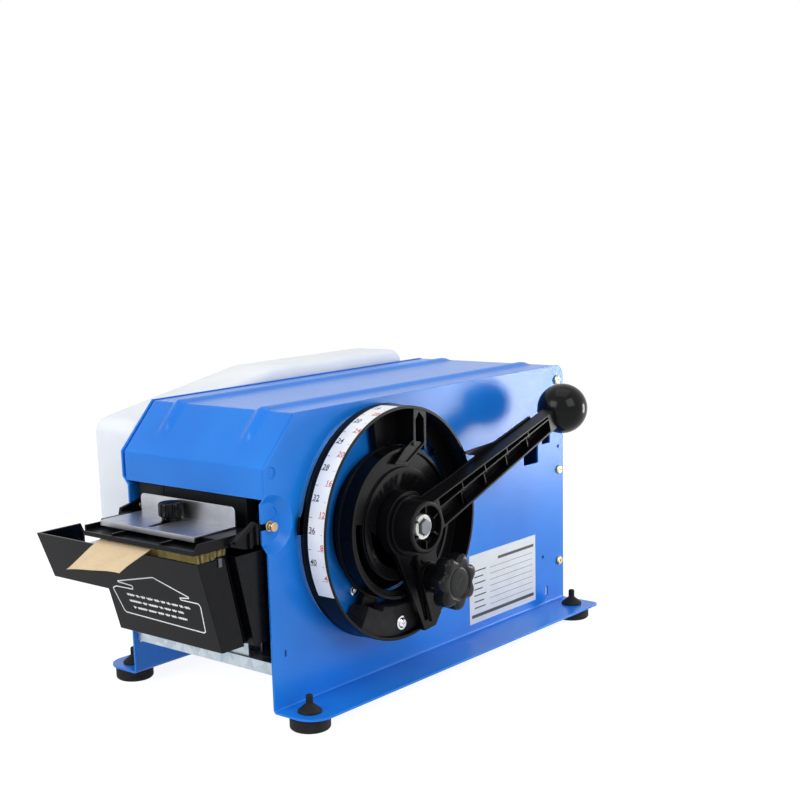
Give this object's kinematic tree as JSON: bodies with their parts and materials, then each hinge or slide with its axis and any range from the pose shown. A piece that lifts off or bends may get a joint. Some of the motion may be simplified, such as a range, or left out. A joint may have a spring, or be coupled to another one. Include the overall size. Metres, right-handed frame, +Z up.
{
  "type": "gummed tape dispenser",
  "caption": "Bench dispenser for gummed paper tape: folded side plates and cover, dial ring with pull handle and length stop, water tank with brush, pressure plate and side bottle.",
  "frame": {"origin": "on the bench, under the middle of the whole machine", "axes": "+Y towards the rear, +Z up, +X towards the dial and handle"},
  "size_m": [0.2944, 0.496, 0.251],
  "materials": {
    "blue_coat": "orange-peel gloss coat",
    "galvanised": "galvanised sheet",
    "black_sheet": "satin black coat",
    "black_moulding": "satin moulding",
    "black_gloss": "polished",
    "rubber": "matte",
    "steel": "brushed along the length",
    "ground_steel": "ground",
    "gear_steel": "machined",
    "zinc": "yellow zinc plate",
    "brass": "turned",
    "chrome": "bright",
    "scale_print": "printed white band",
    "label": "blank foil plate",
    "white_ring": "satin",
    "feed_rubber": "ground rubber",
    "kraft": "gummed kraft",
    "core_board": "wound board",
    "bristle": "stiff fibre",
    "bottle": "translucent"
  },
  "bodies": {
    "chassis": {"right_side_plate": "blue_coat", "left_side_plate": "blue_coat", "base_plate": "galvanised", "rear_panel": "blue_coat", "front_guard": "black_sheet", "rubber_feet": "rubber", "dial_ring": "black_moulding", "dial_cup": "black_moulding", "scale_band": "scale_print", "bumper_block": "rubber", "top_bracket": "black_moulding", "rating_plate": "label", "bearing_bushes": "brass", "feed_bearings": "brass", "tie_rod": "ground_steel", "tape_bed": "galvanised", "tape_guides": "galvanised", "lower_blade": "ground_steel", "blade_guides": "ground_steel", "roll_cradle": "galvanised", "tape_web": "kraft", "bottle_shelf": "blue_coat", "tank_rest": "galvanised", "hinge_pins": "brass", "side_screws": "zinc", "dial_screws": "chrome"},
    "handle": {"pull_handle": "black_moulding", "ball_knob": "black_gloss", "main_shaft": "ground_steel", "drive_gear": "gear_steel", "pointer_plate": "black_moulding", "shaft_ring": "white_ring"},
    "feed": {"feed_wheel": "feed_rubber", "feed_shaft": "ground_steel", "pinion": "gear_steel"},
    "pinch": {"pinch_roller": "feed_rubber"},
    "blade": {"shear_blade": "ground_steel"},
    "stop": {"stop_arm": "black_moulding"},
    "star": {"star_knob": "black_gloss"},
    "cover": {"top_cover": "blue_coat"},
    "frame": {"pressure_frame": "black_moulding", "frame_links": "black_sheet"},
    "press": {"steel_plate": "steel"},
    "knob": {"plate_knob": "black_gloss"},
    "tank": {"water_tank": "black_moulding", "brush_backing": "bristle", "brush_bristles": "bristle", "tank_clip": "ground_steel", "tape_strip": "kraft"},
    "bottle": {"water_bottle": "bottle", "bottle_spout": "bottle"},
    "roll": {"tape_roll": "kraft", "roll_core": "core_board"},
    "front_roller": {"front_cradle_roller": "ground_steel"},
    "rear_roller": {"rear_cradle_roller": "ground_steel"}
  },
  "joints": [
    {"name": "handle_pull", "type": "hinge", "parent": "chassis", "child": "handle", "pos_m": [0.00025, -0.028, 0.14], "axis": [1, 0, 0], "range_deg": [0, 190]},
    {"name": "feed_spin", "type": "hinge", "parent": "chassis", "child": "feed", "pos_m": [0.00025, -0.07749, 0.18664], "axis": [1, 0, 0], "continuous": true},
    {"name": "pinch_spin", "type": "hinge", "parent": "chassis", "child": "pinch", "pos_m": [0.00025, -0.07749, 0.1398], "axis": [1, 0, 0], "continuous": true},
    {"name": "roll_spin", "type": "hinge", "parent": "chassis", "child": "roll", "pos_m": [0.00025, 0.134, 0.1465], "axis": [1, 0, 0], "continuous": true},
    {"name": "front_roller_spin", "type": "hinge", "parent": "chassis", "child": "front_roller", "pos_m": [0.00025, 0.089, 0.07879], "axis": [1, 0, 0], "continuous": true},
    {"name": "rear_roller_spin", "type": "hinge", "parent": "chassis", "child": "rear_roller", "pos_m": [0.00025, 0.179, 0.07879], "axis": [1, 0, 0], "continuous": true},
    {"name": "blade_drop", "type": "slide", "parent": "chassis", "child": "blade", "axis": [0, 0, -1], "range_m": [0, 0.012], "stiffness_N_per_m": 200, "springref_m": -0.006},
    {"name": "stop_swing", "type": "hinge", "parent": "chassis", "child": "stop", "pos_m": [0.00025, -0.028, 0.14], "axis": [1, 0, 0], "range_deg": [-35, 20]},
    {"name": "star_turn", "type": "hinge", "parent": "stop", "child": "star", "pos_m": [0.14025, -0.00416, 0.09155], "axis": [1, 0, 0], "continuous": true},
    {"name": "cover_lift", "type": "hinge", "parent": "chassis", "child": "cover", "pos_m": [0.00025, 0.236, 0.226], "axis": [1, 0, 0], "range_deg": [-95, 0]},
    {"name": "frame_tilt", "type": "hinge", "parent": "chassis", "child": "frame", "pos_m": [0.00025, -0.1476, 0.1567], "axis": [1, 0, 0], "range_deg": [-25, 0]},
    {"name": "plate_slide", "type": "slide", "parent": "frame", "child": "press", "axis": [0, 1, 0], "range_m": [0, 0.006]},
    {"name": "knob_turn", "type": "hinge", "parent": "frame", "child": "knob", "pos_m": [-0.00575, -0.172, 0.163], "axis": [0, 0, 1], "continuous": true},
    {"name": "tank_slide", "type": "slide", "parent": "chassis", "child": "tank", "axis": [0, -1, 0], "range_m": [0, 0.06]},
    {"name": "bottle_lift", "type": "slide", "parent": "chassis", "child": "bottle", "axis": [0, 0, 1], "range_m": [0, 0.15]}
  ],
  "couplings": [
    {"joint": "feed_spin", "follows": "handle_pull", "ratio": -3.8571},
    {"joint": "pinch_spin", "follows": "handle_pull", "ratio": 13.899},
    {"joint": "roll_spin", "follows": "handle_pull", "ratio": 1.9305},
    {"joint": "front_roller_spin", "follows": "handle_pull", "ratio": -15.444},
    {"joint": "rear_roller_spin", "follows": "handle_pull", "ratio": -15.444}
  ]
}
